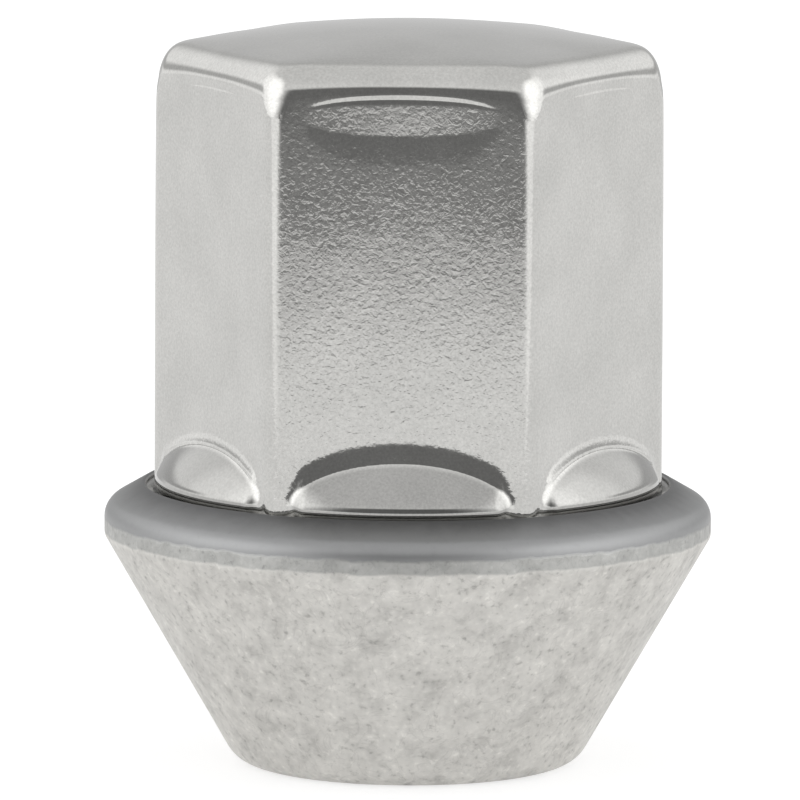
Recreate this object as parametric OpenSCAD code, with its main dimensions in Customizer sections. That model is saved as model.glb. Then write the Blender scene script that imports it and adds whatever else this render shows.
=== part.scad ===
// Capped lug nut in millimetres, +Z up along the thread, seat end standing on z = 0.
// A drawn sheet cap is closed over a cold formed steel nut by a hem rolled under its collar.

/* [Hexagon of the cap] */
// Wrench size across the flats
hex_af = 19; // [18.6:0.1:19.4]
// Radius of the six vertical edges
edge_r = 0.95; // [0.9:0.05:1.2]
// Radius where the sides turn into the top
top_edge_r = 1.3; // [1.1:0.05:1.4]
// Height from the seat end to the middle of the top
overall_h = 31.8; // [31.4:0.1:33.5]
// Radius of the slightly domed top
dome_r = 45; // [42:1:60]
// Sheet thickness
cap_wall = 0.5; // [0.4:0.05:0.55]
// Depth of the shallow oval dent near the top of each flat
dent_depth = 0.06; // [0.04:0.01:0.1]
// Width of the dent along the flat
dent_w = 8; // [6:0.25:8.5]
// Height of the dent up the flat
dent_h = 1.7; // [1.2:0.1:2]
// Middle of the dent below the middle of the top
dent_drop = 2.95; // [2.9:0.05:4]

/* [Foot of the cap] */
// How far the hem stands out beyond the vertical edges
hem_proud = 0.06; // [0.04:0.01:0.12]
// Outer radius of the hem's curl
curl_r = 0.75; // [0.7:0.05:0.9]
// Profile radius of the lobe that leads each flat out to the round hem
lobe_r = 5; // [4.5:0.1:5.5]
// Angle above level where the lobe runs into the curl
lobe_angle = 25; // [22:1:27]
// Width of the hem turned in under the collar
hem_turn = 0.65; // [0.5:0.05:0.8]

/* [Flange and seat] */
// Flange diameter
flange_d = 26; // [25.4:0.1:26.6]
// Included angle of the conical seat
seat_angle = 60; // [58:1:62]
// Seat diameter where its cone would meet the end face
seat_end_d = 14.6; // [14.4:0.1:15]
// Rounding of the seat's small end
seat_edge_r = 1.4; // [1:0.1:1.5]
// Height of the upright band above the seat
band_h = 0.73; // [0.6:0.05:1]
// Rounding between the seat and the band
band_edge_r = 0.4; // [0.2:0.1:0.6]
// Rounding of the flange's rim
rim_r = 0.9; // [0.7:0.05:1]
// Slope of the flange's top
top_slope = 30; // [28:1:32]
// Inside diameter of the lip round the hem
lip_d = 22.4; // [22.3:0.05:22.6]
// Rounding of the lip
lip_edge_r = 0.15; // [0.1:0.05:0.2]
// Depth of the groove that the hem hangs in
groove_depth = 0.6; // [0.5:0.05:0.65]
// Gap between the hem and the groove's floor
hem_gap = 0.2; // [0.15:0.05:0.3]

/* [Threaded core] */
// Thread diameter
thread_d = 12; // [11.5:0.1:12.2]
// Thread pitch
pitch = 1.5; // [1.25:0.25:1.75]
// How far the entry countersink opens beyond the thread, on the radius
mouth_lead = 0.15; // [0.1:0.01:0.2]
// Included angle of the countersinks
mouth_angle = 120; // [100:5:125]
// Free height between the core and the inside of the cap
head_room = 1.6; // [1.4:0.1:3]
// Bevel round the top of the core
core_bevel = 0.6; // [0.4:0.1:0.8]
// Clearance between the cap and the core
fit_clear = 0.05; // [0.03:0.01:0.06]
// Clearance between the hem's edge and the neck
neck_clear = 0.1; // [0.08:0.01:0.15]

/* [Hidden] */
$fn = 96;
sides = 6;
turn = 360 / sides;
// Directions that the flats face, one of them to the front
flat_angles = [for (i = [0 : sides - 1]) (i + 0.5) * turn];
reach = 40;
bevel_angle = 30;
// Basic profile of a metric thread: minor diameter is this many pitches below the major
minor_drop = 1.0825;
// Lets the fillet run a little above the dome, so that the two cross cleanly
dome_cross = 0.01;
// Roundings stand this far proud of the faces they join, so that the two cross cleanly
proud = 0.004;
// Slope above the rounded edges, steeper than the dome so that the dome stays clear of it
roof_slope = 20;

flange_r = flange_d / 2;
seat_end_r = seat_end_d / 2;
seat_half = seat_angle / 2;
seat_h = (flange_r - seat_end_r) / tan(seat_half);
rim_z = seat_h + band_h;
lip_r = lip_d / 2;
// The rim's rounding stays within the wall outside the lip
rim_fit = min(rim_r, flange_r - lip_r - 2 * lip_edge_r);
rim_c = [flange_r - rim_fit, rim_z];
rim_end = rim_c + rim_fit * [sin(top_slope), cos(top_slope)];
lip_cx = lip_r + lip_edge_r;
lip_cz = rim_end[1] + ((rim_end[0] - lip_cx) * sin(top_slope) - lip_edge_r) / cos(top_slope);
lip_c = [lip_cx, lip_cz];
lip_end = lip_c + lip_edge_r * [sin(top_slope), cos(top_slope)];
floor_z = lip_cz - groove_depth;
seat_c = [seat_end_r - seat_edge_r * tan((90 - seat_half) / 2), seat_edge_r];
seat_start = seat_c + seat_edge_r * [cos(seat_half), -sin(seat_half)];
band_c = [flange_r - band_edge_r, seat_h + band_edge_r * tan(seat_half / 2)];
band_start = band_c + band_edge_r * [cos(seat_half), -sin(seat_half)];

edge_out_r = (hex_af / 2 - edge_r) / cos(turn / 2) + edge_r;
hem_r = edge_out_r + hem_proud;
curl_c = [hem_r - curl_r, floor_z + hem_gap + curl_r];
lobe_c = curl_c - (lobe_r - curl_r) * [cos(lobe_angle), sin(lobe_angle)];
hem_in_r = curl_c[0] - hem_turn;
neck_r = hem_in_r - neck_clear;
hem_top = curl_c[1] - curl_r + cap_wall;
collar_r = curl_c[0] - fit_clear;
core_inset = cap_wall + fit_clear;
core_top = overall_h - cap_wall - head_room;
top_edge_z = overall_h - dome_r + sqrt(pow(dome_r - top_edge_r, 2) - pow(hex_af / 2 - top_edge_r, 2));
shoulder_z = top_edge_z + top_edge_r + dome_cross;
bore_r = (thread_d - minor_drop * pitch) / 2;
mouth_r = thread_d / 2 + mouth_lead;
mouth_h = (mouth_r - bore_r) / tan(mouth_angle / 2);

// Rounding of a corner: a disc that stands a hair proud of the two faces it joins
module round_2d(c, r) {
    translate(c)
        circle(r + proud);
}

// Hexagon with rounded corners
module hex_2d(half, r) {
    run = (half - r) * tan(turn / 2);
    polygon([
        for (a = flat_angles, end = [-run, run])
            [half * cos(a) - end * sin(a), half * sin(a) + end * cos(a)]
    ]);
    for (a = flat_angles)
        rotate(a + turn / 2)
            round_2d([(half - r) / cos(turn / 2), 0], r);
}

// Section of a bar whose upper edges are rounded and whose top rises like a roof
module roof_2d(half, r, z0, z1) {
    c = [half - r, z1 - r];
    e = c + r * [sin(roof_slope), cos(roof_slope)];
    ridge = e[1] + e[0] * tan(roof_slope);
    polygon([
        [-half, z0],
        [half, z0],
        [half, c[1]],
        e,
        [0, ridge],
        [-e[0], e[1]],
        [-half, c[1]]
    ]);
    round_2d(c, r);
    round_2d([-c[0], c[1]], r);
}

// Hexagonal block with rounded edges: each pair of flats is trimmed by its own rounded bar
module hex_block(half, er, tr, z0, z1) {
    intersection() {
        translate([0, 0, z0])
            linear_extrude(reach)
                hex_2d(half, er);
        intersection_for(i = [0 : sides / 2 - 1])
            rotate(flat_angles[i])
                rotate([90, 0, 0])
                    linear_extrude(2 * reach, center = true)
                        roof_2d(half + 2 * proud, tr, 0, z1);
    }
}

// Half section of the foot: the lobes' long arc runs into the hem's small curl
module foot_2d(inset) {
    below = curl_c[1] - curl_r + inset;
    translate([0, below])
        square([curl_c[0], curl_c[1] - below]);
    intersection() {
        round_2d(curl_c, curl_r - inset);
        translate([0, below])
            square([reach, 2 * curl_r]);
    }
    intersection() {
        translate(lobe_c)
            circle(lobe_r - inset);
        polygon([
            [0, curl_c[1]],
            curl_c,
            curl_c + reach * [cos(lobe_angle), sin(lobe_angle)],
            [0, reach]
        ]);
    }
}

// Half section under the domed top
module dome_2d(inset) {
    intersection() {
        translate([0, overall_h - dome_r])
            circle(dome_r - inset);
        square([reach, overall_h]);
    }
}

// Solid form of the cap, made smaller on every side by the inset
module cap_form(inset) {
    intersection() {
        hex_block(hex_af / 2 - inset, edge_r - inset, top_edge_r - inset, curl_c[1], shoulder_z - inset);
        rotate_extrude()
            dome_2d(inset);
    }
    rotate_extrude()
        foot_2d(inset);
}

// Shallow cutter for the oval dent in a flat
module dent() {
    tube = (pow(dent_h / 2, 2) + pow(dent_depth, 2)) / (2 * dent_depth);
    sweep = (pow(dent_w / 2, 2) + pow(dent_depth, 2)) / (2 * dent_depth);
    span = 2 * asin(dent_w / sweep);
    translate([hex_af / 2 - dent_depth + sweep, 0, overall_h - dent_drop])
        rotate(180 - span / 2)
            rotate_extrude(angle = span)
                translate([sweep - tube, 0])
                    circle(tube);
}

// Drawn sheet cap with six flats, lobes at their feet and a hem turned in under the collar
module cap() {
    color([0.82, 0.82, 0.82])
        difference() {
            cap_form(0);
            cap_form(cap_wall);
            cylinder(r = hem_in_r, h = hem_top + cap_wall);
            for (a = flat_angles)
                rotate(a)
                    dent();
        }
}

// Half section of the seat, the flange and the neck in the groove
module flange_2d() {
    polygon([
        [0, 0],
        [seat_c[0], 0],
        seat_start,
        band_start,
        [flange_r, band_c[1]],
        [flange_r, rim_z],
        rim_end,
        lip_end,
        [lip_r, lip_cz],
        [lip_r, floor_z],
        [neck_r, floor_z],
        [neck_r, hem_top],
        [collar_r, hem_top],
        [collar_r, curl_c[1]],
        [0, curl_c[1]]
    ]);
    intersection() {
        round_2d(seat_c, seat_edge_r);
        square(2 * seat_end_r);
    }
    round_2d(band_c, band_edge_r);
    round_2d(rim_c, rim_fit);
    round_2d(lip_c, lip_edge_r);
}

// Half section that the hexagonal core may fill, with its bevelled top
module core_2d() {
    flat_r = hex_af / 2 - core_inset - core_bevel;
    polygon([
        [0, curl_c[1]],
        [hem_r, curl_c[1]],
        [hem_r, core_top - (hem_r - flat_r) * tan(bevel_angle)],
        [flat_r, core_top],
        [0, core_top]
    ]);
}

// Steel nut: hexagonal core with a collar, flange with a conical seat, and the bore for the thread
module nut_body() {
    color([0.66, 0.66, 0.65])
        difference() {
            union() {
                intersection() {
                    linear_extrude(overall_h)
                        hex_2d(hex_af / 2 - core_inset, edge_r - core_inset);
                    rotate_extrude()
                        core_2d();
                }
                rotate_extrude() {
                    flange_2d();
                    foot_2d(core_inset);
                }
            }
            cylinder(r = bore_r, h = overall_h);
            cylinder(r1 = mouth_r, r2 = bore_r, h = mouth_h);
        }
}

nut_body();
cap();
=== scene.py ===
"""Capped lug nut: the visual model on the CAD frame, with its materials, light and camera."""

import math

import bpy
import numpy as np
from mathutils import Matrix, Vector


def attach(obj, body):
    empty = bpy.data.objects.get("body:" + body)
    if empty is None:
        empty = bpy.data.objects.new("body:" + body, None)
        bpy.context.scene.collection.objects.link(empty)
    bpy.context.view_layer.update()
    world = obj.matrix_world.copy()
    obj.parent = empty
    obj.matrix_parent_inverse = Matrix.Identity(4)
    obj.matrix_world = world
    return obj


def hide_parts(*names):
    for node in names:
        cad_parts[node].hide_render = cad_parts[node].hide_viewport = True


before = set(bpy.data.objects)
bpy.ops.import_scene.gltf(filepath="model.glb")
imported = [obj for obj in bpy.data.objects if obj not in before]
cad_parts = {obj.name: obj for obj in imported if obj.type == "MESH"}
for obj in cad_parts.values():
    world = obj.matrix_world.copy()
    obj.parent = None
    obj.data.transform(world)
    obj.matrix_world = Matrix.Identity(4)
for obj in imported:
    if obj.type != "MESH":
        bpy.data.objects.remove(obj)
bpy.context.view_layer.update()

MM = 0.001
TURN = math.radians(60)  # from one flat to the next
SIN30 = 0.5
COS30 = math.cos(TURN / 2)
TAN30 = math.tan(TURN / 2)

# Sizes in millimetres, as in the part's source
HALF = 9.5
EDGE_R = 0.95
TOP_R = 1.3
TOP_Z = 31.8
DOME_R = 45.0
WALL = 0.5
FLANGE_R = 13.0
SEAT_R = 7.3
SEAT_EDGE_R = 1.4
SEAT_H = (FLANGE_R - SEAT_R) / TAN30
BAND_H = 0.73
BAND_EDGE_R = 0.4
RIM_R = 0.9
RIM_C = (FLANGE_R - RIM_R, SEAT_H + BAND_H)
RIM_END = (RIM_C[0] + RIM_R * SIN30, RIM_C[1] + RIM_R * COS30)
LIP_R = 11.2
LIP_EDGE = 0.15
LIP_Z = RIM_END[1] + ((RIM_END[0] - LIP_R - LIP_EDGE) * SIN30 - LIP_EDGE) / COS30
GROOVE_DEPTH = 0.6
FLOOR_Z = LIP_Z - GROOVE_DEPTH
HEM_GAP = 0.2
HEM_PROUD = 0.06
HEM_TURN = 0.65
CURL_R = 0.75
EDGE_OUT_R = (HALF - EDGE_R) / COS30 + EDGE_R
HEM_R = EDGE_OUT_R + HEM_PROUD
CURL_C = (HEM_R - CURL_R, FLOOR_Z + HEM_GAP + CURL_R)
LOBE_R = 5.0
LOBE_A = math.radians(25)
LOBE_C = (CURL_C[0] - (LOBE_R - CURL_R) * math.cos(LOBE_A),
          CURL_C[1] - (LOBE_R - CURL_R) * math.sin(LOBE_A))
HEM_IN = CURL_C[0] - HEM_TURN
HEM_LOW = CURL_C[1] - CURL_R
FIT_CLEAR = 0.05
NECK_CLEAR = 0.1
HEAD_ROOM = 1.6
CORE_TOP = TOP_Z - WALL - HEAD_ROOM
CORE_IN = WALL + FIT_CLEAR
CORE_BEVEL = 0.6
THREAD_R = 6.0
PITCH = 1.5
MINOR_DROP = 1.0825  # pitches between the thread's two diameters
BORE_R = THREAD_R - MINOR_DROP * PITCH / 2
MOUTH_R = THREAD_R + 0.15

# Where the dome runs into the rounded edge of the top, and the foot of that edge
TILT = math.asin((HALF - TOP_R) / (DOME_R - TOP_R))
FILLET_Z = TOP_Z - DOME_R + (DOME_R - TOP_R) * math.cos(TILT)

# Sizes that only the visual model has
HOLLOW_R = 3.0  # hollow in each flat above its lobe
HOLLOW_H = 0.85
HOLLOW_FADE = 0.5  # distance inside the hem's radius from which the hollow runs out
LOBE_END = (3.9, 4.95)  # distance from the middle of the flat over which a lobe ends
HEM_RISE = (11.52, 11.80)  # heights over which the edges run into the round hem, below the lip
TOP_BLEND = 0.04  # softens the line where the top meets its rounded edge
FLARE = 0.055  # how far the six edges lean out towards the foot
FLARE_H = 5.0
FLARE_REACH = 1.3
CORNER_LIFT = 0.20  # how far the top stands higher at its corners
LIFT_R = (4.0, 9.5)
CORNER_R = 0.80  # added rounding where the six edges meet the top
CORNER_AT = 0.4
CORNER_SPREAD = 0.6
CORNER_HANG = 0.30  # how far the rounded edge of the top reaches lower at the corners
HANG_H = 2.4
EASE = 0.6  # how much earlier the rounding of the six edges starts below EASE_Z
EASE_Z = 28.5
EASE_H = 4.0
LEDGE = 0.12  # depth of the ledge between the lip and the hem
LEDGE_GAP = 0.05
DENT_HALF_W = 4.05
DENT_HALF_H = 0.87
DENT_Z = TOP_Z - 2.95
DENT_DEEP = 0.037
CREASE_DEEP = 0.026
THREAD_END = 0.4  # plain bore above the thread
THREAD_FADE = 1.2

# Heights where the rows of the cap's side get closer or wider, and rows inside the lobes
DENT_FOOT_Z = 27.6
LOBE_HEAD_Z = 16.0
FOOT_ZS = (12.8, 13.1, 13.4, 13.7, 14.0)

# Columns round the hexagon: along each flat, then round the edge after it
N_FLAT = 54
N_EDGE = 14
FLAT_DEG = [30 + 60 * k for k in range(6)]
# Columns round the nut, and rows for each turn of its thread
N_ROUND = 216
N_PITCH = 12


def grid_object(name, rows, close_rows=False, poles=()):
    """Mesh of a grid that is closed round its columns. poles names the row ends closed by a fan."""
    v = np.asarray(rows, float) * MM
    nr, nc = v.shape[:2]
    verts = v.reshape(-1, 3).tolist()
    faces = []
    for i in range(nr if close_rows else nr - 1):
        a = i * nc
        b = ((i + 1) % nr) * nc
        for j in range(nc):
            k = (j + 1) % nc
            faces.append((a + j, b + j, b + k, a + k))
    for end in poles:
        first = end == "first"
        base = 0 if first else (nr - 1) * nc
        mid = len(verts)
        verts.append(v[0 if first else -1].mean(axis=0).tolist())
        for j in range(nc):
            k = (j + 1) % nc
            faces.append((mid, base + j, base + k) if first else (mid, base + k, base + j))
    me = bpy.data.meshes.new(name)
    me.from_pydata(verts, [], faces)
    me.polygons.foreach_set("use_smooth", [True] * len(me.polygons))
    me.update()
    ob = bpy.data.objects.new(name, me)
    bpy.context.scene.collection.objects.link(ob)
    return ob


def row3(xy, z):
    """A row of the grid from plan points and heights."""
    return np.column_stack([xy, np.broadcast_to(z, (len(xy),))])


def unit(deg):
    """Plan direction at an angle."""
    return np.array([math.cos(math.radians(deg)), math.sin(math.radians(deg))])


def smooth_step(x, x0, x1):
    """Smooth step from 0 at x0 to 1 at x1."""
    t = np.clip((x - x0) / (x1 - x0), 0, 1)
    return t * t * (3 - 2 * t)


def outline(half, r, ease=1.0):
    """Plan points of a rounded hexagon, one for each column. ease starts the rounding earlier.

    The pull of the curve's handles keeps the tip where an arc of radius r has it.
    """
    pts = []
    pull = 1 - (4.287 / ease - 2) / 6
    run = (half - ease * r) * TAN30
    for a in FLAT_DEG:
        ends = []
        for side, flat in ((1, a), (-1, a + 60)):
            n = unit(flat)
            ends.append(n * half + side * run * np.array([-n[1], n[0]]))
        n = unit(a)
        along = np.array([-n[1], n[0]])
        pts += [n * half + along * run * f for f in np.linspace(-1, 1, N_FLAT)]
        tip = half / COS30 * unit(a + 30)
        near, far = (e + (tip - e) * pull for e in ends)
        for t in np.linspace(0, 1, N_EDGE + 2)[1:-1]:
            u = 1 - t
            pts.append(u ** 3 * ends[0] + 3 * u * u * t * near
                       + 3 * u * t * t * far + t ** 3 * ends[1])
    return np.array(pts)


def flat_columns():
    """For each column: the flat's normal, the place along it in mm, and 1 on the flat."""
    run = (HALF - EDGE_R) * TAN30
    normal, along, on = [], [], []
    for a in FLAT_DEG:
        normal += [unit(a)] * N_FLAT
        normal += [unit(a + s) for s in np.linspace(0, 60, N_EDGE + 2)[1:-1]]
        along += list(np.linspace(-run, run, N_FLAT)) + [run] * N_EDGE
        on += [1.0] * N_FLAT + [0.0] * N_EDGE
    return np.array(normal), np.array(along), np.array(on)


def dome_z(p, top):
    """Height of the domed top above points of the plan; it falls less towards the six corners."""
    r = np.hypot(p[:, 0], p[:, 1])
    corner = np.abs(np.cos(3 * np.arctan2(p[:, 1], p[:, 0]))) ** 1.6
    out = np.clip((r - LIFT_R[0]) / (LIFT_R[1] - LIFT_R[0]), 0, 1) ** 2.5
    return top - DOME_R + np.sqrt(DOME_R ** 2 - r ** 2) + CORNER_LIFT * corner * out


def plan_r(over):
    """Plan rounding of the six edges at a height over the foot of the top's rounded edge."""
    return EDGE_R + CORNER_R * math.exp(-0.5 * ((over - CORNER_AT) / CORNER_SPREAD) ** 2)


def foot_r(z, inset=0.0):
    """Radius of the foot's turned profile at a height: the lobe's long arc, then the hem's curl."""
    turn_z = CURL_C[1] + CURL_R * math.sin(LOBE_A)
    c, r = (LOBE_C, LOBE_R - inset) if z > turn_z else (CURL_C, CURL_R - inset)
    return c[0] + math.sqrt(max(r * r - (z - c[1]) ** 2, 0))


def side_r(rho, z):
    """Radius of the cap's side at a height: upright wall, hollow, then the foot's profile."""
    on_lobe = rho < CURL_C[0] + CURL_R * math.cos(LOBE_A)
    c, r = (LOBE_C, LOBE_R) if on_lobe else (CURL_C, CURL_R)
    edge = c[1] + math.sqrt(r * r - (rho - c[0]) ** 2)
    start = edge + HOLLOW_H * min((HEM_R - rho) / HOLLOW_FADE, 1)
    if z >= start:
        return rho
    hollow = rho + HOLLOW_R - math.sqrt(HOLLOW_R ** 2 - min(start - z, HOLLOW_H) ** 2)
    return max(foot_r(z), hollow) if z > edge - 0.4 else foot_r(z)


def lobe_share(way, rho, z):
    """How much of the foot's profile each column takes.

    The lobes end short of the six edges, and the hem below is round.
    """
    off = np.arctan2(way[:, 1], way[:, 0]) % TURN - TURN / 2
    return 1 - smooth_step(np.abs(rho * np.sin(off)), *LOBE_END) * smooth_step(z, *HEM_RISE)


def dent_depth(along, z):
    """Depth of the shallow oval dent: a crease along its upper edge, a hollow that runs out below.

    u is the place across the dent, s the place down it.
    """
    u = np.abs(along) / DENT_HALF_W
    arch = np.clip(1 - u ** 2, 0, 1) ** 0.3
    s = 0.5 - (z - DENT_Z) / (2 * DENT_HALF_H * np.maximum(arch, 0.05))
    crease = CREASE_DEEP * np.exp(-((s - 0.10) / 0.06) ** 2) * np.clip(1.25 - u, 0, 1)
    hollow = DENT_DEEP * np.clip(s, 0, 1) ** 0.8 * np.clip((1.7 - s) / 0.7, 0, 1) ** 1.5
    hollow = hollow * (1 - 0.6 * u ** 2)
    fade = np.clip((1 - u) / 0.08, 0, 1)
    return (crease * np.clip(s / 0.06 + 0.3, 0, 1) + hollow) * fade


def top_rows(hang):
    """Rows of the domed top and its rounded edge."""
    rows = []
    inner = outline(HALF - TOP_R * (1 - math.sin(TILT)), EDGE_R)
    for share in np.linspace(0.01, 1, 22)[:-1]:
        p = inner * share
        rows.append(row3(p, dome_z(p, TOP_Z)))
    steep = math.pi / 2 - TILT
    for lift in np.linspace(steep, 0, 18):
        rise = TOP_R * math.sin(lift)
        p = outline(HALF - TOP_R * (1 - math.cos(lift)), plan_r(rise))
        over = dome_z(p, TOP_Z)
        edge = FILLET_Z + rise - hang * (1 - lift / steep) ** 1.5
        rows.append(row3(p, (over + edge - np.sqrt((over - edge) ** 2 + TOP_BLEND ** 2)) / 2))
    return rows


def wall(z):
    """The cap's upright wall at a height: directions, plan radii, and radii with the lean."""
    ease = 1 + EASE * min(max((EASE_Z - z) / EASE_H, 0), 1)
    side = outline(HALF, plan_r(z - FILLET_Z), ease)
    rho = np.hypot(side[:, 0], side[:, 1])
    lean = FLARE * (1 - math.exp((z - FILLET_Z) / FLARE_H))
    return side / rho[:, None], rho, rho + lean * np.clip((rho - HALF) / FLARE_REACH, 0, 1)


def side_rows(normal, along, on, hang):
    """Rows of the flats with their dents, hollows and lobes, then of the hem's outside."""
    rows = []
    zs = np.concatenate([
        np.linspace(FILLET_Z, DENT_FOOT_Z, 40)[1:],
        np.linspace(DENT_FOOT_Z, LOBE_HEAD_Z, 24)[1:],
        np.linspace(LOBE_HEAD_Z, CURL_C[1], 56)[1:],
    ])
    for z in zs:
        way, rho, r = wall(z)
        r = r + (np.array([side_r(q, z) for q in r]) - r) * lobe_share(way, rho, z)
        low = z - hang * max(1 - (FILLET_Z - z) / HANG_H, 0) ** 2
        dent = dent_depth(along, low) * on
        rows.append(row3(way * r[:, None] - normal * dent[:, None], low))
    way, rho, upright = wall(CURL_C[1])
    for t in np.radians(np.linspace(0, -90, 15)[1:]):
        z = CURL_C[1] + CURL_R * math.sin(t)
        curl = CURL_C[0] + CURL_R * math.cos(t)
        r = upright + (curl - upright) * lobe_share(way, rho, z)
        rows.append(row3(way * r[:, None], z))
    return rows, way


def inside_rows(way):
    """Rows of the hem's edge, then of the cap's inside up to its ceiling."""
    rows = []
    hem_top = HEM_LOW + WALL
    for r, z in ((HEM_IN + 0.1, HEM_LOW), (HEM_IN + 0.02, HEM_LOW + 0.03),
                 (HEM_IN, HEM_LOW + 0.1), (HEM_IN, hem_top - 0.1),
                 (HEM_IN + 0.1, hem_top), (CURL_C[0], hem_top)):
        rows.append(row3(way * r, z))
    small = CURL_R - WALL
    for t in np.radians(np.linspace(-90, 0, 7)[1:]):
        rows.append(row3(way * (CURL_C[0] + small * math.cos(t)), CURL_C[1] + small * math.sin(t)))
    inside = outline(HALF - WALL, EDGE_R - WALL)
    rin = np.hypot(inside[:, 0], inside[:, 1])
    win = inside / rin[:, None]
    for z in FOOT_ZS:
        rows.append(row3(win * np.maximum(rin, foot_r(z, WALL))[:, None], z))
    for z in (15, 20, 25, 29.75):
        rows.append(row3(inside, z))
    ceiling = outline(HALF - TOP_R, 0.02)
    for share in (1.0, 0.8, 0.6, 0.4, 0.2, 0.02):
        p = ceiling * share
        rows.append(row3(p, dome_z(p, TOP_Z - WALL)))
    return rows


def build_cap():
    """The cap: outside from the middle of the top to the hem, then the inside back up."""
    normal, along, on = flat_columns()
    hang = CORNER_HANG * (np.abs(along) / along.max()) ** 2.5
    side, way = side_rows(normal, along, on, hang)
    rows = top_rows(hang) + side + inside_rows(way)
    return grid_object("cap_shell", rows, poles=("first", "last"))


def arc(c, r, a0, a1, n):
    """Points of an arc in a half section."""
    return [
        (c[0] + r * math.cos(math.radians(a)), c[1] + r * math.sin(math.radians(a)))
        for a in np.linspace(a0, a1, n)
    ]


def thread_rows(ang, way):
    """Rows of the bore from its top down: a 60 degree thread with flat crests and roots."""
    rows = []
    z = CORE_TOP
    while z > 0.001:
        turn = (z / PITCH - ang / (2 * math.pi)) % 1.0
        depth = np.clip((6 / 16 - np.abs(turn - 0.5)) / (5 / 16), 0, 1)
        fade = min(max((CORE_TOP - THREAD_END - z) / THREAD_FADE, 0), 1)
        r = BORE_R + (THREAD_R - BORE_R) * depth * fade
        mouth = MOUTH_R - z * math.tan(TURN)
        rows.append(row3(way * np.maximum(r, mouth)[:, None], z))
        z -= PITCH / N_PITCH
    return rows


def nut_profile():
    """Half section of the nut from the bore's mouth round the seat and flange to the collar."""
    seat_c = (SEAT_R - SEAT_EDGE_R * TAN30, SEAT_EDGE_R)
    band_c = (FLANGE_R - BAND_EDGE_R, SEAT_H + BAND_EDGE_R * math.tan(TURN / 4))
    seat = arc(seat_c, SEAT_EDGE_R, -90, -30, 10)
    band = arc(band_c, BAND_EDGE_R, -30, 0, 5)
    (r0, z0), (r1, z1) = seat[-1], band[0]
    cone = [(r0 + (r1 - r0) * t, z0 + (z1 - z0) * t) for t in np.linspace(0, 1, 16)[1:-1]]
    prof = [(MOUTH_R, 0.0)] + seat + cone + band + [(FLANGE_R, RIM_C[1] - 0.2)]
    prof += arc(RIM_C, RIM_R, 0, 60, 10)
    prof += arc((LIP_R + LIP_EDGE, LIP_Z), LIP_EDGE, 60, 180, 8)
    shelf = HEM_R + LEDGE_GAP
    prof += [(LIP_R, LIP_Z - LEDGE), (shelf, LIP_Z - LEDGE), (shelf, FLOOR_Z)]
    neck = HEM_IN - NECK_CLEAR
    prof += [(HEM_IN - 0.02, FLOOR_Z), (neck, FLOOR_Z + 0.08)]
    under = HEM_LOW + WALL
    collar = CURL_C[0] - FIT_CLEAR
    prof += [(neck, under), (collar, under), (collar, under + 0.05)]
    return prof + arc(CURL_C, CURL_R - CORE_IN, -80, 0, 5)


def core_rows(ang, way):
    """Rows of the hexagonal core under the cap, from the lobes to its bevelled top."""
    off = (ang - TURN / 2) % TURN
    off = np.minimum(off, TURN - off)
    hexr = np.minimum((HALF - CORE_IN) / np.cos(off), EDGE_OUT_R - CORE_IN)
    rows = []
    for z in FOOT_ZS:
        r = np.maximum(hexr, foot_r(z, CORE_IN)) - 0.01
        rows.append(row3(way * r[:, None], z))
    for z in (16, 22, CORE_TOP - 1.2):
        rows.append(row3(way * (hexr - 0.01)[:, None], z))
    rows.append(row3(way * (HALF - CORE_IN - CORE_BEVEL), CORE_TOP))
    return rows


def build_nut():
    """The nut body as one closed grid: thread, seat, flange, groove, collar, core, bore again."""
    ang = np.arange(N_ROUND) / N_ROUND * 2 * math.pi
    way = np.column_stack([np.cos(ang), np.sin(ang)])
    rows = thread_rows(ang, way)
    rows += [row3(way * r, z) for r, z in nut_profile()]
    rows += core_rows(ang, way)
    return grid_object("nut_steel", rows, close_rows=True)


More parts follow.
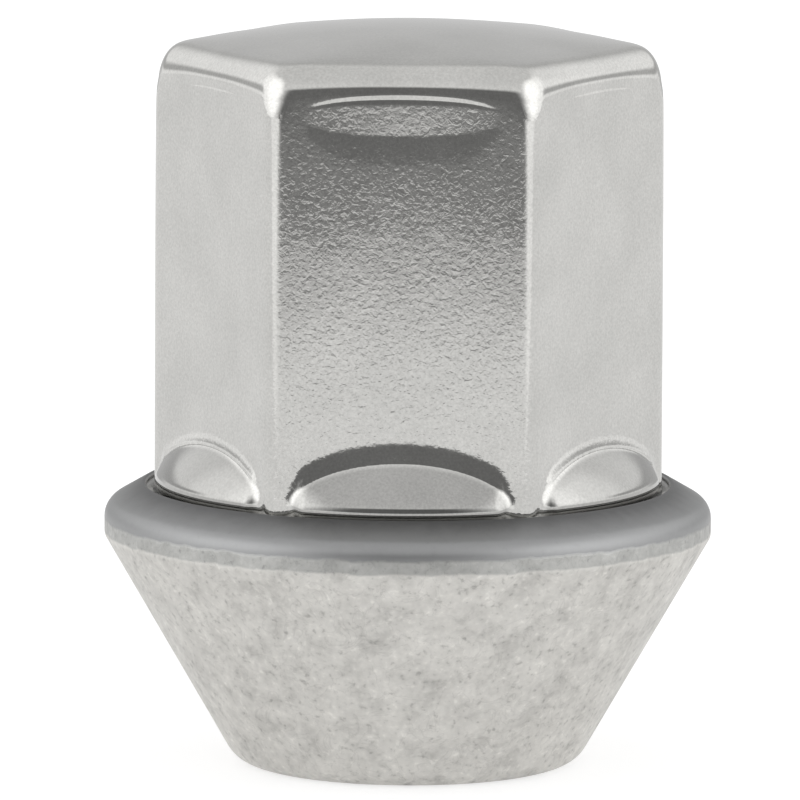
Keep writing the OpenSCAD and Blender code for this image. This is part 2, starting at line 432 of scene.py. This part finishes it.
class Nodes:
    """Adds the nodes of one shader tree. Inputs take sockets or constants, results are sockets."""

    def __init__(self, owner):
        owner.use_nodes = True
        self.tree = owner.node_tree

    def add(self, kind, **values):
        nd = self.tree.nodes.new(kind)
        for key, val in values.items():
            setattr(nd, key, val)
        return nd

    def put(self, socket, value):
        if isinstance(value, bpy.types.NodeSocket):
            self.tree.links.new(value, socket)
        else:
            socket.default_value = value

    def fill(self, nd, values):
        for key, value in values.items():
            self.put(nd.inputs[key], value)
        return nd

    def place(self, kind="Object"):
        """Coordinates, whole and as X, Y and Z."""
        co = self.add("ShaderNodeTexCoord").outputs[kind]
        xyz = self.fill(self.add("ShaderNodeSeparateXYZ"), {"Vector": co})
        return co, xyz.outputs["X"], xyz.outputs["Y"], xyz.outputs["Z"]

    def math(self, operation, *values):
        nd = self.add("ShaderNodeMath", operation=operation)
        return self.fill(nd, dict(enumerate(values))).outputs["Value"]

    def vector(self, operation, result, *values):
        nd = self.add("ShaderNodeVectorMath", operation=operation)
        return self.fill(nd, dict(enumerate(values))).outputs[result]

    def noise(self, place, scale, detail, rough, twist=0.0):
        nd = self.add("ShaderNodeTexNoise")
        values = {"Vector": place, "Scale": scale, "Detail": detail,
                  "Roughness": rough, "Distortion": twist}
        return self.fill(nd, values).outputs["Fac"]

    def ramp(self, source, stops):
        """A colour ramp from (place, grey or colour) pairs."""
        nd = self.fill(self.add("ShaderNodeValToRGB"), {"Fac": source})
        el = nd.color_ramp.elements
        while len(el) < len(stops):
            el.new(0.5)
        for e, (at, tone) in zip(el, stops):
            e.position = at
            e.color = (tone, tone, tone, 1) if isinstance(tone, (int, float)) else (*tone, 1)
        return nd.outputs["Color"]

    def span(self, source, from_min, from_max, to_min, to_max, smooth=True):
        """A clamped change of range."""
        kind = "SMOOTHSTEP" if smooth else "LINEAR"
        nd = self.add("ShaderNodeMapRange", clamp=True, interpolation_type=kind)
        values = {"Value": source, "From Min": from_min, "From Max": from_max,
                  "To Min": to_min, "To Max": to_max}
        return self.fill(nd, values).outputs["Result"]

    def mix(self, share, first, second, blend="MIX"):
        """Two colours mixed by a share of the second."""
        nd = self.add("ShaderNodeMix", data_type="RGBA", blend_type=blend)
        return self.fill(nd, {0: share, 6: first, 7: second}).outputs[2]

    def times(self, *colours):
        """Colours multiplied."""
        result = colours[0]
        for colour in colours[1:]:
            result = self.mix(1.0, result, colour, "MULTIPLY")
        return result

    def towards(self, value, share, bright):
        """A value drawn to another by a share."""
        nd = self.add("ShaderNodeMix", data_type="FLOAT")
        return self.fill(nd, {0: share, 2: value, 3: bright}).outputs[0]

    def bump(self, height, deep, normal=None):
        values = {"Height": height, "Strength": 1.0, "Distance": deep}
        if normal is not None:
            values["Normal"] = normal
        return self.fill(self.add("ShaderNodeBump"), values).outputs["Normal"]


def new_material(name):
    """A node material, the helper for its nodes, and its shader."""
    mat = bpy.data.materials.new(name)
    nodes = Nodes(mat)
    return mat, nodes, nodes.tree.nodes["Principled BSDF"]


# Distances from the axis square to the flats, in metres, where the wall ends and the lobe is full
WALL_END = 0.00962
LOBE_BARE = 0.00972
LOBE_FULL = 0.0098
# Heights between which the wrinkles run out below the top
WRINKLE_TOP = (0.0288, 0.0299)
SMOOTHED = 0.06  # share of the wrinkles left on the lobes and the top
LOBE_TONE = 0.74


def cap_material():
    """Bright drawn stainless sheet: wrinkled flats, burnished lobes and top, fine grain; the lobes
    are darker.
    """
    mat, nodes, bsdf = new_material("bright_steel")
    co, _, _, z = nodes.place()
    worm = nodes.noise(co, 4600.0, 2.0, 0.5, 0.4)
    peel = nodes.noise(co, 1300.0, 3.0, 0.55)
    sweep = nodes.noise(co, 330.0, 2.0, 0.5)
    grain = nodes.noise(co, 9000.0, 2.0, 0.6)
    # distance from the axis, measured square to the flats
    reach = 0.0
    for deg in FLAT_DEG[:3]:
        across = nodes.vector("DOT_PRODUCT", "Value", co, (*unit(deg), 0))
        reach = nodes.math("MAXIMUM", reach, nodes.math("ABSOLUTE", across))
    # the drawn walls are wrinkled, the lobes and the top are burnished
    walls = nodes.math("MULTIPLY", nodes.span(reach, WALL_END, LOBE_BARE, 1.0, SMOOTHED),
                       nodes.span(z, *WRINKLE_TOP, 1.0, SMOOTHED))
    # even between the wrinkles, so that the wall still mirrors
    crest = nodes.ramp(worm, [(0.28, 0.0), (0.46, 0.5), (0.54, 0.5), (0.72, 1.0)])
    normal = nodes.bump(nodes.math("MULTIPLY", crest, walls), 0.0000028)
    normal = nodes.bump(peel, 0.0000015, normal)
    normal = nodes.bump(sweep, 0.000006, normal)
    colour = nodes.ramp(sweep, [(0.3, (0.550, 0.546, 0.528)), (0.7, (0.602, 0.597, 0.578))])
    speckle = nodes.ramp(grain, [(0.3, 0.91), (0.7, 1.09)])
    # the lobes are darker in tone
    lobe_darkening = nodes.span(reach, WALL_END, LOBE_FULL, 1.0, LOBE_TONE)
    nodes.fill(bsdf, {
        "Base Color": nodes.times(colour, speckle, lobe_darkening),
        "Roughness": nodes.span(sweep, 0.3, 0.7, 0.04, 0.065, smooth=False),
        "Metallic": 1.0,
        "Normal": normal,
    })
    return mat


# Heights in metres over which the nut's tones are laid out, and how far their edges wander
TONE_SPAN = (0.0096, 0.0126)
RAGGED = 0.0004
SEAT_TONE = (0.67, 0.658, 0.63)
BAND_TONE = (0.47, 0.47, 0.456)
RING_TONE = (0.33, 0.333, 0.335)
# Painted shade: the flange's slope and lip darker under the cap, for the cap's shadow and its dark
# reflection in them
SLOPE_PAINTED_SHADE = (0.24, 0.242, 0.243)
LIP_PAINTED_SHADE = (0.14, 0.141, 0.142)
# Painted light in the groove, over the lip's painted shade and the groove's own shade
GROOVE_PAINTED_LIGHT = (0.62, 0.618, 0.61, 1)
# Places in the tone span: start and end of the change from seat to band, and from band to ring
TO_BAND = (0.187, 0.22)
TO_RING = (0.373, 0.413)


def nut_material():
    """Zinc flake coating: mottled pale seat, matte chipped band, smooth grey flange with painted
    shade on its slope towards the lip under the cap, and the groove painted lighter.
    """
    mat, nodes, bsdf = new_material("coated_steel")
    co, _, _, z = nodes.place()
    cloud = nodes.noise(co, 850.0, 6.0, 0.62)
    pits = nodes.noise(co, 3600.0, 2.0, 0.5)
    vein = nodes.noise(co, 620.0, 3.0, 0.6, 1.2)
    # heights with ragged edges
    ragged = nodes.math("MULTIPLY_ADD", cloud, RAGGED, z)
    level = nodes.span(ragged, *TONE_SPAN, 0.0, 1.0, smooth=False)
    # from 0.62 up the flange darkens towards the lip: painted shade and a painted reflection of the
    # cap's dark foot
    tone = nodes.ramp(level, [
        (TO_BAND[0], SEAT_TONE), (TO_BAND[1], BAND_TONE), (TO_RING[0], BAND_TONE),
        (TO_RING[1], RING_TONE), (0.62, RING_TONE), (0.74, SLOPE_PAINTED_SHADE), (0.86, LIP_PAINTED_SHADE),
    ])
    matte = nodes.ramp(level, [(TO_RING[0], 1.0), (TO_RING[1], 0.15)])
    blotch = nodes.ramp(cloud, [(0.30, 0.80), (0.46, 0.97), (0.56, 1.03), (0.70, 1.12)])
    holes = nodes.ramp(pits, [(0.25, 0.72), (0.38, 0.97), (0.5, 1.0), (0.62, 1.03), (0.74, 1.15)])
    lines = nodes.ramp(vein, [(0.470, 1.0), (0.488, 0.90), (0.506, 1.0)])
    coat = nodes.mix(matte, tone, nodes.times(blotch, holes, lines), "MULTIPLY")
    # painted light in the groove: a plain lighter tone in place of the lip's painted shade, lighter
    # than the shade that falls there
    radius = nodes.vector("LENGTH", "Value", nodes.vector("MULTIPLY", "Vector", co, (1, 1, 0)))
    groove = nodes.math("MULTIPLY", nodes.span(radius, 0.01120, 0.01128, 1.0, 0.0, smooth=False),
                        nodes.span(z, 0.0110, 0.0112, 0.0, 1.0, smooth=False))
    nodes.fill(bsdf, {
        "Base Color": nodes.mix(groove, coat, GROOVE_PAINTED_LIGHT),
        "Roughness": nodes.ramp(level, [(0.2, 0.55), (TO_RING[0], 0.5), (TO_RING[1], 0.42)]),
        "Metallic": 1.0,
        "Normal": nodes.bump(nodes.math("MULTIPLY", cloud, matte), 0.00005),
    })
    return mat


cap = build_cap()
cap.data.materials.append(cap_material())
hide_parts("cap")
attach(cap, "root")

nut = build_nut()
nut.data.materials.append(nut_material())
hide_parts("nut_body")
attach(nut, "root")


def stage_card(name, corners, mat, reflected_only=False):
    """A four-cornered stage card, in millimetres. A flag is seen by reflections alone."""
    me = bpy.data.meshes.new(name)
    me.from_pydata([tuple(c * MM for c in p) for p in corners], [], [(0, 1, 2, 3)])
    me.materials.append(mat)
    ob = bpy.data.objects.new(name, me)
    bpy.context.scene.collection.objects.link(ob)
    if reflected_only:
        ob.visible_camera = False
        ob.visible_diffuse = False
        ob.visible_shadow = False


FLOOR_GREY = 0.5
FLOOR_GLOW = 0.48  # added where the camera or a reflection sees the floor
FLOOR_WHITE = 0.14  # added for the camera alone, which brings the floor to white


def floor_material():
    """White ground that keeps the nut's soft shadow."""
    mat, nodes, bsdf = new_material("ground")
    path = nodes.add("ShaderNodeLightPath").outputs
    camera = path["Is Camera Ray"]
    seen = nodes.math("MAXIMUM", camera, path["Is Glossy Ray"])
    seen = nodes.math("MAXIMUM", seen, path["Is Transmission Ray"])
    white = nodes.math("MULTIPLY", camera, FLOOR_WHITE)
    nodes.fill(bsdf, {
        "Base Color": (FLOOR_GREY, FLOOR_GREY, FLOOR_GREY, 1),
        "Roughness": 1.0,
        "Specular IOR Level": 0.0,
        "Emission Color": (1, 1, 1, 1),
        "Emission Strength": nodes.math("MULTIPLY_ADD", seen, FLOOR_GLOW, white),
    })
    return mat


def card_material(name, look):
    """Plain light that fades into clear. look gives its tone and its opacity."""
    mat, nodes, bsdf = new_material(name)
    nodes.tree.nodes.remove(bsdf)
    tone, opacity = look(nodes)
    light = nodes.fill(nodes.add("ShaderNodeEmission"), {"Color": tone})
    clear = nodes.add("ShaderNodeBsdfTransparent")
    mix = nodes.add("ShaderNodeMixShader")
    nodes.fill(mix, {0: opacity, 1: clear.outputs[0], 2: light.outputs[0]})
    nodes.put(nodes.tree.nodes["Material Output"].inputs["Surface"], mix.outputs[0])
    return mat


# Ground towards the camera: metres over which its tones are laid out, and the tones
FRONT_SPAN = (0.1, 0.4)
FRONT_TONES = [
    (0.0, 1.04), (0.13, 1.0), (0.19, 0.94), (0.245, 0.80), (0.28, 0.72), (0.335, 0.74),
    (0.355, 0.28), (0.43, 0.28), (0.50, 0.33), (0.62, 0.30), (0.75, 0.22),
]
# Distance aside over distance away, where the wedge and then the whole card fade out
WEDGE = (0.25, 0.75)
FRONT_SIDES = (1.8, 4.0)
LIT_GROUND = (1.22, 1.22, 1.22, 1)


def front_look(nodes):
    """A wedge with soft sides that darkens with the distance, and lit ground beside it."""
    _, x, y, _ = nodes.place()
    away = nodes.math("MULTIPLY", y, -1.0)
    slope = nodes.math("DIVIDE", nodes.math("ABSOLUTE", x), away)
    wedge = nodes.span(slope, *WEDGE, 1.0, 0.0)
    tone = nodes.ramp(nodes.span(away, *FRONT_SPAN, 0.0, 1.0, smooth=False), FRONT_TONES)
    return nodes.mix(wedge, LIT_GROUND, tone), nodes.span(slope, *FRONT_SIDES, 1.0, 0.0)


BACK_TONE = 0.62
BACK_SIDES = (0.14, 0.30)
BACK_TOP = (0.08, 0.19)


def back_look(nodes):
    """Grey back of the tent, which the top of the nut reflects."""
    _, x, _, z = nodes.place()
    sides = nodes.span(nodes.math("ABSOLUTE", x), *BACK_SIDES, 1.0, 0.0)
    above = nodes.span(z, *BACK_TOP, 1.0, 0.0)
    return (BACK_TONE, BACK_TONE, BACK_TONE, 1), nodes.math("MULTIPLY", sides, above)


def level_card(x, y0, y1, z):
    """Corners of a card that lies level."""
    return [(-x, y0, z), (x, y0, z), (x, y1, z), (-x, y1, z)]


def upright_card(x, y, z0, z1):
    """Corners of a card that stands across the view."""
    return [(-x, y, z0), (x, y, z0), (x, y, z1), (-x, y, z1)]


stage_card("ground", level_card(3000, -3000, 3000, 0), floor_material())
stage_card("front_flag", level_card(2500, -2900, -100, 0.2),
           card_material("front_flag", front_look), reflected_only=True)
stage_card("back_flag", upright_card(320, 330, 0.2, 190),
           card_material("back_flag", back_look), reflected_only=True)

# Light tent: direction, degrees from it where it ends and where it is full, brightness
TENT_SIDES = 1.0
TENT = [
    ((0, 0, 1), 72, 36, 0.88),
    ((0, 1, 0.1), 62, 28, BACK_TONE),
    ((-0.80, 0.50, 0.36), 38, 10, 1.15),
    ((0.80, 0.50, 0.36), 38, 10, 1.15),
    ((-0.94, 0.05, 0.34), 32, 10, 1.50),
    ((0.94, 0.05, 0.34), 32, 10, 1.50),
    ((-0.85, -0.35, 0.38), 30, 10, 1.80),
    ((0.85, -0.35, 0.38), 30, 10, 1.80),
]
# Dark opening on the camera's side: brightness, and the directions' parts over which it starts
OPENING = 0.20
OPENING_Y = (-0.70, -0.92)
OPENING_Z = (0.50, 0.36)
# Darker strip low at the back
STRIP = 0.60
STRIP_Y = (0.15, 0.45)
STRIP_TOP = (0.26, 0.16)
STRIP_FOOT = (0.04, 0.11)


def tent_world():
    """White tent with a greyer back, soft lamps at both sides and a dark opening in front."""
    world = bpy.data.worlds.new("tent")
    nodes = Nodes(world)
    way, _, y, z = nodes.place("Generated")
    level = TENT_SIDES
    for lamp, end, full, bright in TENT:
        near = nodes.vector("DOT_PRODUCT", "Value", way, Vector(lamp).normalized())
        limits = (math.cos(math.radians(end)), math.cos(math.radians(full)))
        level = nodes.towards(level, nodes.span(near, *limits, 0.0, 1.0), bright)
    front = nodes.math("MULTIPLY", nodes.span(y, *OPENING_Y, 0.0, 1.0),
                       nodes.span(z, *OPENING_Z, 0.0, 1.0))
    level = nodes.towards(level, front, OPENING)
    strip = nodes.math("MULTIPLY", nodes.span(z, *STRIP_TOP, 0.0, 1.0),
                       nodes.span(z, *STRIP_FOOT, 0.0, 1.0))
    strip = nodes.math("MULTIPLY", nodes.span(y, *STRIP_Y, 0.0, 1.0), strip)
    level = nodes.towards(level, strip, STRIP)
    nodes.fill(nodes.tree.nodes["Background"], {"Color": level, "Strength": 1.0})
    return world


scene = bpy.context.scene
scene.world = tent_world()
scene.view_settings.view_transform = "Standard"

# Camera fitted to the photo's outline: pixels per mm, mm, degrees, and the axis in the picture
PIXELS = 800
SENSOR = 36.0
SCALE = 23.35
DIST = 450.0
ELEV = math.radians(7.96)
AZIM = math.radians(1.85)
ROLL = math.radians(0.277)
AIM_Z = 15
MID = (408.2, 413.6)


def add_camera():
    """The camera, turned to the nut's axis and shifted to where the photo has it."""
    data = bpy.data.cameras.new("camera")
    data.sensor_width = SENSOR
    data.lens = SENSOR * SCALE * DIST / PIXELS
    data.shift_x = -(MID[0] - PIXELS / 2) / PIXELS
    data.shift_y = (MID[1] - PIXELS / 2) / PIXELS
    data.clip_start = 0.01
    data.clip_end = 50
    cam = bpy.data.objects.new("camera", data)
    scene.collection.objects.link(cam)
    aim = Vector((0, 0, AIM_Z * MM))
    flat = math.cos(ELEV)
    back = Vector((math.sin(AZIM) * flat, -math.cos(AZIM) * flat, math.sin(ELEV)))
    spot = aim + DIST * MM * back
    look = (aim - spot).to_track_quat("-Z", "Y").to_matrix().to_4x4()
    cam.matrix_world = Matrix.Translation(spot) @ look @ Matrix.Rotation(ROLL, 4, "Z")
    return cam


scene.camera = add_camera()
